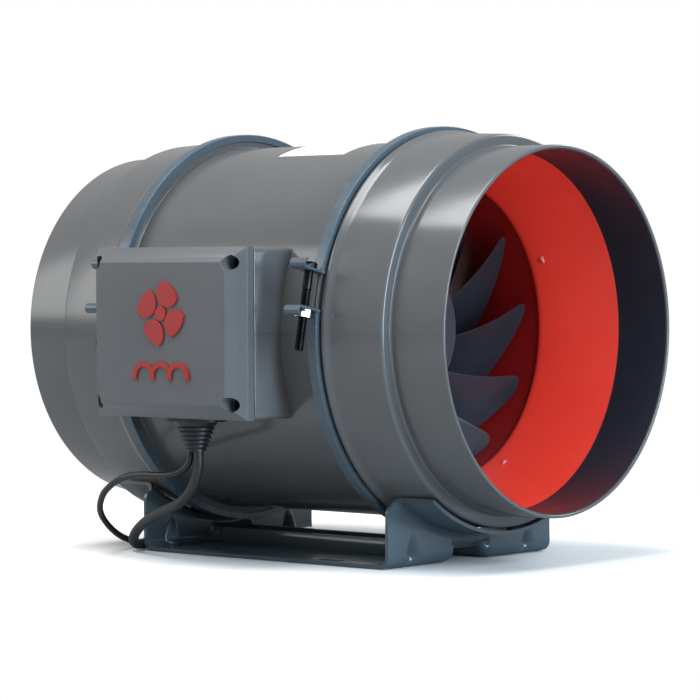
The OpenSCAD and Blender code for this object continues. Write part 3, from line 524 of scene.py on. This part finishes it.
steps = [BELL_X0 + i * (BELL_X1 - BELL_X0) / 24 for i in range(25)]
bell_outline = [(bell_radius(x), x) for x in steps]
bell_outline += [(bell_radius(x) + (0.2 if x > 148 else 2), x - 0.6) for x in reversed(steps)]
bell_outline += [(THROAT + 1.9, BELL_X0 - 1.6), (THROAT + 1.0, BELL_X0 - 2.0), (THROAT + 0.3, BELL_X0 - 1.2)]
finished("inlet_bell_shell", spin(in_metres(bell_outline), 256), red_abs, "housing",
         ("inlet_bell",), sharp=60)
print("bell ready:", len(bell_outline), "points in its outline")

# %% [markdown]
# ## The impeller
# Eleven blades sweep back from a cone. One blade is a surface from two curves, its front and
# back edges, given a thickness that thins at both edges. A Geometry Nodes tree then turns
# copies of it about the duct axis, and the count is a named input. The copies are realised, so
# the result is a plain mesh. The duct round the blades is a spun shell that widens towards the
# outlet as the cone does.

# %% A tree that turns copies about X
def turned_copies(part, count, paint, first=0.0, height=AXIS_Z):
    """Turns count copies of a mesh about the X line at a height, and returns one plain mesh."""
    tree = bpy.data.node_groups.new("turned_copies", "GeometryNodeTree")
    face = tree.interface
    face.new_socket("Geometry", in_out="INPUT", socket_type="NodeSocketGeometry")
    sockets = {n: face.new_socket(n, in_out="INPUT", socket_type=t) for n, t in
               (("Count", "NodeSocketInt"), ("First Angle", "NodeSocketFloat"),
                ("Axis Height", "NodeSocketFloat"), ("Finish", "NodeSocketMaterial"))}
    face.new_socket("Geometry", in_out="OUTPUT", socket_type="NodeSocketGeometry")
    given = tree.nodes.new("NodeGroupInput").outputs
    points = add(tree, "GeometryNodeMeshLine", {"Count": given["Count"], "Offset": (0, 0, 0)})
    index = tree.nodes.new("GeometryNodeInputIndex").outputs["Index"]
    share = add(tree, "ShaderNodeMath", operation="DIVIDE")
    tree.links.new(index, share.inputs[0])
    tree.links.new(given["Count"], share.inputs[1])
    angle = add(tree, "ShaderNodeMath", operation="MULTIPLY_ADD")
    tree.links.new(share.outputs[0], angle.inputs[0])
    angle.inputs[1].default_value = 2 * math.pi
    tree.links.new(given["First Angle"], angle.inputs[2])
    turn = add(tree, "ShaderNodeCombineXYZ", {"X": angle.outputs[0]})
    copies = add(tree, "GeometryNodeInstanceOnPoints", {"Points": points.outputs["Mesh"],
                 "Instance": given["Geometry"], "Rotation": turn.outputs["Vector"]})
    lift = add(tree, "ShaderNodeCombineXYZ", {"Z": given["Axis Height"]})
    lifted = add(tree, "GeometryNodeTransform", {"Geometry": copies.outputs["Instances"],
                 "Translation": lift.outputs["Vector"]})
    real = add(tree, "GeometryNodeRealizeInstances", {"Geometry": lifted.outputs["Geometry"]})
    painted = add(tree, "GeometryNodeSetMaterial",
                  {"Geometry": real.outputs["Geometry"], "Material": given["Finish"]})
    tree.links.new(painted.outputs["Geometry"], tree.nodes.new("NodeGroupOutput").inputs["Geometry"])
    holder = bpy.data.objects.new("copies", part)
    bpy.context.scene.collection.objects.link(holder)
    run = holder.modifiers.new("copies", "NODES")
    run.node_group = tree
    for label, value in (("Count", count), ("First Angle", math.radians(first)),
                         ("Axis Height", height), ("Finish", paint)):
        run[sockets[label].identifier] = value
    ready = holder.evaluated_get(bpy.context.evaluated_depsgraph_get())
    mesh = bpy.data.meshes.new_from_object(ready)
    bpy.data.objects.remove(holder)
    return mesh

# %% Blade surface
HUB_X0, HUB_X1, TIP_R, BLADE_T, CORNER_S = -24.0, 62.0, 100.0, 1.8, 0.76
DUCT_R, DUCT_WIDENS = 103.5, 15.5


def hub_radius(x):
    return 73 - 26 * ((x - HUB_X0) / (HUB_X1 - HUB_X0)) ** 1.3


def duct_radius(x):
    """Narrow ahead of x = 60, wide behind x = -60, and a half wave between them."""
    share = min(1.0, max(0.0, (60 - x) / 120))
    return DUCT_R + DUCT_WIDENS * (0.5 - 0.5 * math.cos(math.pi * share))


def blade_point(s, c, side):
    """A point at span s, chord c, on one side of a blade, about the duct axis, in metres."""
    fx, fa = 60 + 35 * s - 6 * s ** 6, -7 + 22 * s ** 0.9 - 3 * s ** 8
    bx, ba = -18 - 4 * s, -78 + 6 * s
    cut = 0.09 * (1 - math.sqrt(max(0.0, 1 - (max(0.0, s - CORNER_S) / (1 - CORNER_S)) ** 2)))
    k = c + cut * (1 - c)
    x = fx + (bx - fx) * k
    a = fa + (ba - fa) * (1.25 * k - 0.25 * k * k)
    root = hub_radius(min(x, HUB_X1 - 0.5)) - 1.2
    tip = TIP_R if x > 30 else min(duct_radius(x) - 3, TIP_R + (30 - x) * 0.19)
    r = root + s * (tip - root)
    t = side * BLADE_T * (0.3 + 0.7 * min(1.0, c / (0.015 + 0.12 * s))) * (1 - 0.6 * c ** 4) / 2
    angle = math.radians(a) + t / r
    return Vector((x + t * 0.55, r * math.cos(angle), r * math.sin(angle))) * MM


def blade_mesh(chord=48):
    """Rows run from hub to tip, closer together where the outer corner turns."""
    rows = [CORNER_S * i / 16 for i in range(16)]
    rows += [CORNER_S + (1 - CORNER_S) * math.sin(math.pi / 2 * i / 10) for i in range(11)]
    span = len(rows) - 1
    build = bmesh.new()
    sides = [[[build.verts.new(blade_point(s, (j / chord) ** 1.3, side)) for j in range(chord + 1)]
              for s in rows] for side in (1, -1)]
    for grid in sides:
        for i in range(span):
            for j in range(chord):
                build.faces.new((grid[i][j], grid[i + 1][j], grid[i + 1][j + 1], grid[i][j + 1]))
    top, under = sides
    border = ([(0, j) for j in range(chord)] + [(i, chord) for i in range(span)]
              + [(span, j) for j in range(chord, 0, -1)] + [(i, 0) for i in range(span, 0, -1)])
    for (i, j), (m, n) in zip(border, border[1:] + border[:1]):
        build.faces.new((top[i][j], top[m][n], under[m][n], under[i][j]))
    return outward(build)


blades = finished("swept_blades", turned_copies(blade_mesh(), 11, blade_nylon), blade_nylon, "rotor",
                  ("impeller_blades",), sharp=35)
# The duct is red like the bell; its darker red is painted shade.
duct_steps = [-88 + i * 3.0 for i in range(61)]
duct_outline = [(duct_radius(x), x) for x in duct_steps] + [(125.9, 92), (125.9, 89)]
duct_outline += [(duct_radius(x) + 2, x) for x in reversed(duct_steps[2:-1])] + [(125.9, -85), (125.9, -88)]
finished("impeller_duct_shell", spin(in_metres(duct_outline)), red_duct_shaded_abs, "housing",
         ("impeller_duct",), sharp=35)
hub_steps = [HUB_X0 + i * (HUB_X1 - HUB_X0) / 24 for i in range(25)]
hub_outline = [(14, HUB_X1 - 4), (18, HUB_X1 - 1)] + [(hub_radius(x), x) for x in reversed(hub_steps)]
hub_outline += [(hub_radius(x) - 3, x) for x in hub_steps[:21]]
hub_outline += [(47, 50), (12, 50), (12, 40), (5.02, 40), (5.02, HUB_X1 - 4)]
finished("impeller_cone", spin(in_metres(hub_outline), 160), blade_nylon, "rotor",
         ("impeller_hub",), sharp=40)
print("impeller:", len(blades.data.polygons), "faces in the blades")

# %% [markdown]
# ## Bands, lid, vanes and cord fittings
# These are rolled, pressed or moulded shapes whose solids are already right. A bevel of a few
# tenths of a millimetre gives each edge the line of light that a real edge has.

# %% Bands, lid, vanes, gland and plugs
refined("inlet_band_steel", "inlet_band", band_paint, "housing", 0.25)
refined("outlet_band_steel", "outlet_band", band_paint, "housing", 0.25)
refined("terminal_lid", "box_lid", lid_abs, "lid", 1.9, segments=4, bevel_angle=20)
refined("raised_sign", "lid_emblem", emblem_abs, "lid", 0.3)
refined("guide_vane_ring", "guide_vanes", blade_nylon, "housing", 0.3, sharp=35)
refined("ribbed_gland", "cable_gland", gland_rubber, "housing", 0.5, segments=3)
plug = refined("moulded_plug", "mains_plug", black_plug, "housing", 0.4)
connector = refined("small_connector", "control_plug", black_plug, "housing", 0.3)
print("pressed and moulded pieces ready")

# %% [markdown]
# ## The pressed cradle
# One sheet: a saddle under each collar bends down into an end plate, and the plate bends again
# into the trays that the fan stands on. The sheet's middle surface is a grid that follows the
# bends, pushed inwards where the press left a gusset, and Solidify gives it its thickness.

# %% Cradle sheet
PLATE_X, SADDLE_R, SADDLE_X, BEND, COVE = 112.25, 135.85, 146.0, 6.0, 10.75
HALF_W, GAP, SHEET, SLOT_Y = 87.75, 14.25, 2.5, 80.0
CORNER_Y, CORNER_R = 80.0, 8.0


def step(t):
    t = min(1.0, max(0.0, t))
    return t * t * (3 - 2 * t)


def plate_top(y):
    """Height at which the plate bends into the saddle, with a round outer corner."""
    start = CORNER_Y + CORNER_R / 2
    z = AXIS_MM - math.sqrt((SADDLE_R + BEND) ** 2 - min(abs(y), start) ** 2)
    if abs(y) <= start:
        return z
    drop = math.sqrt(max(0.0, CORNER_R ** 2 - (abs(y) - CORNER_Y) ** 2))
    return z + drop - math.sqrt(CORNER_R ** 2 - (start - CORNER_Y) ** 2)


def pushed_in(y, z):
    """How far the press pushes the plate inwards: a gusset on each foot and the strip between."""
    half = 10.5 - 0.38 * z
    gusset = 6.5 * step(1 - abs(abs(y) - 62) / half) * step((24 - z) / 20) if z < 24 else 0
    return gusset + 7 * step((22 - abs(y)) / 4) * step((plate_top(y) - z) / 7)


FLAT = [HALF_W - (HALF_W - GAP - COVE) * k / 44 for k in range(45)]
INNER = GAP + COVE - (COVE - BEND)
TOPS = FLAT + [GAP + COVE - (COVE - BEND) * k / 10 for k in range(1, 11)]
STRIP = [INNER - 2 * INNER * k / 28 for k in range(29)]


def skin(build, rows):
    grid = [[build.verts.new(Vector(p) * MM) for p in row] for row in rows]
    for here, there in zip(grid, grid[1:]):
        for a, b, c, d in zip(here, here[1:], there[1:], there):
            build.faces.new((a, b, c, d))


def saddle_rows(s):
    """The saddle's straight part and its bend down into the end plate."""
    full = SADDLE_R + BEND
    held = sorted({round(y * side, 6) for y in TOPS + STRIP for side in (-1, 1)
                   if abs(y) <= CORNER_Y + CORNER_R / 2})
    spots = [(SADDLE_X - (SADDLE_X - PLATE_X - BEND) * k / 8, SADDLE_R) for k in range(8)]
    spots += [(PLATE_X + BEND * (1 - math.sin(a)), SADDLE_R + BEND * (1 - math.cos(a)))
              for a in [math.pi / 16 * k for k in range(9)]]
    return [[(s * x, y / full * r, AXIS_MM - math.sqrt(full ** 2 - y * y) / full * r) for y in held]
            for x, r in spots]


def foot_column(s, side, y0, top_y, a):
    """From the plate's top, down the plate and round the bend to the middle of the tray."""
    low_y, low_z = y0 - (COVE - BEND) * math.sin(a), 12 - (COVE - BEND) * math.cos(a)
    points = []
    for k in range(24, -1, -1):
        y, z = low_y + (top_y - low_y) * k / 24, low_z + (plate_top(top_y) - low_z) * k / 24
        points.append((PLATE_X - pushed_in(y, z), y, z))
    for k in range(1, 9):
        b = math.pi / 16 * k
        r = COVE - BEND + BEND * math.sin(b)
        x = PLATE_X - BEND * (1 - math.cos(b)) - pushed_in(low_y, low_z) * (1 - k / 8) ** 1.5
        points.append((x, y0 - r * math.sin(a), 12 - r * math.cos(a)))
    points.append((0, points[-1][1], points[-1][2]))
    return [(s * x, side * y, z) for x, y, z in points]


def strip_column(s, y):
    """The strip between the feet, from the plate's top to its free lower edge."""
    low, top = 9.5 + 2.5 * step((abs(y) - 16) / 4), plate_top(y)
    heights = [low + (top - low) * k / 24 for k in range(24, -1, -1)]
    return [(s * (PLATE_X - pushed_in(y, z)), y, z) for z in heights]


def cradle_mesh():
    build = bmesh.new()
    cove = [(GAP + COVE, math.pi / 20 * k) for k in range(1, 11)]
    columns = list(zip([(y, 0.0) for y in FLAT] + cove, TOPS))
    for s in (-1, 1):
        skin(build, saddle_rows(s))
        skin(build, [strip_column(s, y) for y in STRIP])
        for side in (-1, 1):
            skin(build, [foot_column(s, side, y0, top_y, a) for (y0, a), top_y in columns])
    bmesh.ops.remove_doubles(build, verts=build.verts, dist=0.05 * MM)
    bmesh.ops.recalc_face_normals(build, faces=build.faces)
    mesh = bpy.data.meshes.new("sheet")
    build.to_mesh(mesh)
    build.free()
    return mesh


def slot_cutters():
    """Round-ended prisms for the fixing slots and the small drain slots."""
    build = bmesh.new()
    for sx in (-1, 1):
        for sy in (-1, 1):
            for middle, length, r in ((56, 24, 4.5), (101, 11, 2.6)):
                ring = []
                for a in range(-85, 275, 10):
                    across, up = math.cos(math.radians(a)), math.sin(math.radians(a))
                    straight = math.copysign(length / 2 - r, across)
                    ring.append((sx * middle + straight + r * across, sy * SLOT_Y + r * up))
                low, high = ([build.verts.new((x * MM, y * MM, z * MM)) for x, y in ring] for z in (-4, 7))
                build.faces.new(low)
                build.faces.new(high)
                for k in range(len(ring)):
                    n = (k + 1) % len(ring)
                    build.faces.new((low[k], low[n], high[n], high[k]))
    return outward(build)


cutter = bpy.data.objects.new("slot_cutters", slot_cutters())
holder = bpy.data.objects.new("cradle_sheet", cradle_mesh())
for made in (cutter, holder):
    bpy.context.scene.collection.objects.link(made)
thick = holder.modifiers.new("thickness", "SOLIDIFY")
thick.thickness, thick.offset, thick.use_even_offset = SHEET * MM, 0, True
cut = holder.modifiers.new("slots", "BOOLEAN")
cut.operation, cut.object, cut.solver = "DIFFERENCE", cutter, "EXACT"
sheet_mesh = bpy.data.meshes.new_from_object(holder.evaluated_get(bpy.context.evaluated_depsgraph_get()))
for made in (cutter, holder):
    bpy.data.objects.remove(made)
finished("pressed_cradle", sheet_mesh, cradle_paint, "housing", ("cradle",), sharp=38)
print("cradle:", len(sheet_mesh.polygons), "faces")

# %% [markdown]
# ## Clamp screws
# Each band closes on a long screw with a rolled thread. The thread is drawn as a row of small
# ridges at the pitch of an M6 screw, which at this size looks the same as a helix.

# %% Clamp screws with their thread
CLAMP_ANGLE, CLAMP_R = -11.5, 146.0


def clamp_screw(build, x):
    """A screw on the clamp's line, a tangent to the band: thread, washer and round head."""
    turn = Matrix.Translation((0, 0, AXIS_Z)) @ Matrix.Rotation(math.radians(CLAMP_ANGLE), 4, "X")
    place = turn @ Matrix.Translation((x * MM, -CLAMP_R * MM, 0))
    outline = [(0.05, -40.5)]
    for k in range(40):
        outline += [(2.55, -40.3 + k), (3.0, -40.0 + k), (3.0, -39.8 + k), (2.55, -39.5 + k)]
    outline += [(3, 0), (3, 13.5), (5.2, 13.5), (5.2, 14.4), (4.9, 14.5), (4.9, 17.2), (4.2, 17.9),
                (0.05, 17.9)]
    spin(in_metres(outline), 40, build, place)


screw_build = bmesh.new()
for x in (-BAND, BAND):
    clamp_screw(screw_build, x)
screw_mesh = outward(screw_build)
finished("clamp_screw_pair", screw_mesh, black_oxide, "housing", ("clamp_screws",), sharp=35)
print("clamp screws:", len(screw_mesh.polygons), "faces")

# %% Finishes of the solids that stay as they are
kept = {
    "inlet_seal": seal_rubber, "outlet_seal": seal_rubber, "lid_seal": seal_rubber,
    "lead_grommet": seal_rubber, "clamp_nuts": zinc_plate, "bell_screws": pink_screw_glint,
    "duct_screws": zinc_plate,
    "rotor_can": zinc_plate, "rotor_magnets": ferrite, "motor_shaft": ground_steel, "shaft_nut": zinc_plate,
    "bearing_inner_rings": ground_steel, "bearing_balls": ground_steel, "bearing_cages": cage_brass,
    "bearing_outer_rings": ground_steel, "stator_core": core_sheet, "stator_windings": wound_copper,
    "motor_board": board_mask, "motor_mount": cast_alloy, "motor_screws": black_oxide,
    "motor_lead": control_jacket, "lid_screws": black_oxide, "control_board": board_mask,
    "board_screws": zinc_plate, "terminal_block": terminal_pa, "cradle_screws": black_oxide,
    "rating_label": label_vinyl, "mains_tie": strap_weave, "control_tie": strap_weave}
for name, paint in kept.items():
    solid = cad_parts[name]
    if solid.material_slots:
        for place in solid.material_slots:
            place.material = paint
    else:
        solid.data.materials.append(paint)
print(len(kept), "solids finished")

# %% [markdown]
# ## Studio
# A pale sweep, a wide soft light above and behind the camera's left, a tall soft box on the
# right for the spigot, and a strip from behind for the rims.

# %% Floor and lights
def soft_box(name, at, aim, size, power, colour=(1, 1, 1)):
    data = bpy.data.lights.new(name, "AREA")
    data.shape, data.energy, data.color = "RECTANGLE", power, colour
    data.size, data.size_y = size
    made = bpy.data.objects.new(name, data)
    bpy.context.scene.collection.objects.link(made)
    made.location = at
    made.rotation_euler = (Vector(aim) - Vector(at)).to_track_quat("-Z", "Y").to_euler()
    return made


floor_mesh = bpy.data.meshes.new("floor")
FLOOR_REACH, FLOOR_Z = 9.0, -0.4 * MM
floor_mesh.from_pydata([(FLOOR_REACH * x, FLOOR_REACH * y, FLOOR_Z) for x, y in
                        ((-1, -1), (1, -1), (1, 1), (-1, 1))], [], [(0, 1, 2, 3)])
floor = bpy.data.objects.new("floor", floor_mesh)
bpy.context.scene.collection.objects.link(floor)
paper, paper_tree, paper_shader, paper_where = blank("pale_paper")
pale = tint(paper_tree, paper_where, "#f4f4f3", "#f7f7f6", per_metre(400))
paper_tree.links.new(pale, paper_shader.inputs["Base Color"])
paper_shader.inputs["Roughness"].default_value = 0.9
distance = add(paper_tree, "ShaderNodeVectorMath", {0: paper_where}, operation="LENGTH")
fade = add(paper_tree, "ShaderNodeMapRange", {"Value": distance.outputs["Value"], "From Min": 0.3,
           "From Max": 0.7}, interpolation_type="SMOOTHSTEP")
glow = add(paper_tree, "ShaderNodeEmission", {"Color": (1, 1, 1, 1), "Strength": 1.0})
blend = add(paper_tree, "ShaderNodeMixShader", {0: fade.outputs["Result"]})
paper_tree.links.new(paper_shader.outputs[0], blend.inputs[1])
paper_tree.links.new(glow.outputs[0], blend.inputs[2])
# Other rays see the floor as a darker grey: painted shade in the fan's reflections and bounce light.
painted_shade_bounce = add(paper_tree, "ShaderNodeBsdfDiffuse", {"Color": linear("#a9adb0")})
direct = paper_tree.nodes.new("ShaderNodeLightPath").outputs["Is Camera Ray"]
shown = add(paper_tree, "ShaderNodeMixShader", {0: direct})
paper_tree.links.new(painted_shade_bounce.outputs[0], shown.inputs[1])
paper_tree.links.new(blend.outputs[0], shown.inputs[2])
paper_tree.links.new(shown.outputs[0], paper_tree.nodes["Material Output"].inputs["Surface"])
floor_mesh.materials.append(paper)

soft_box("top_soft_box", (-0.2, -0.5, 2.0), (0, 0, 0.15), (1.6, 1.2), 50)
soft_box("left_soft_box", (-1.9, -1.5, 1.0), (0, 0, 0.15), (0.9, 1.4), 13)
soft_box("right_soft_box", (2.0, -0.2, 0.7), (0.1, 0, 0.15), (0.7, 1.4), 50, (0.66, 0.84, 1.0))
soft_box("rear_strip", (0.3, 1.8, 1.4), (0, 0, 0.2), (1.6, 0.5), 16)

world = bpy.data.worlds.new("studio")
bpy.context.scene.world = world
world.use_nodes = True
sky = world.node_tree
sky.nodes["Background"].inputs["Color"].default_value = (1, 1, 1, 1)
sky.nodes["Background"].inputs["Strength"].default_value = 0.46
seen = add(sky, "ShaderNodeBackground", {"Color": (1, 1, 1, 1), "Strength": 1.0})
pick = add(sky, "ShaderNodeMixShader", {"Fac": sky.nodes.new("ShaderNodeLightPath").outputs["Is Camera Ray"]})
sky.links.new(sky.nodes["Background"].outputs[0], pick.inputs[1])
sky.links.new(seen.outputs[0], pick.inputs[2])
sky.links.new(pick.outputs[0], sky.nodes["World Output"].inputs["Surface"])
bpy.context.scene.view_settings.view_transform = "Standard"
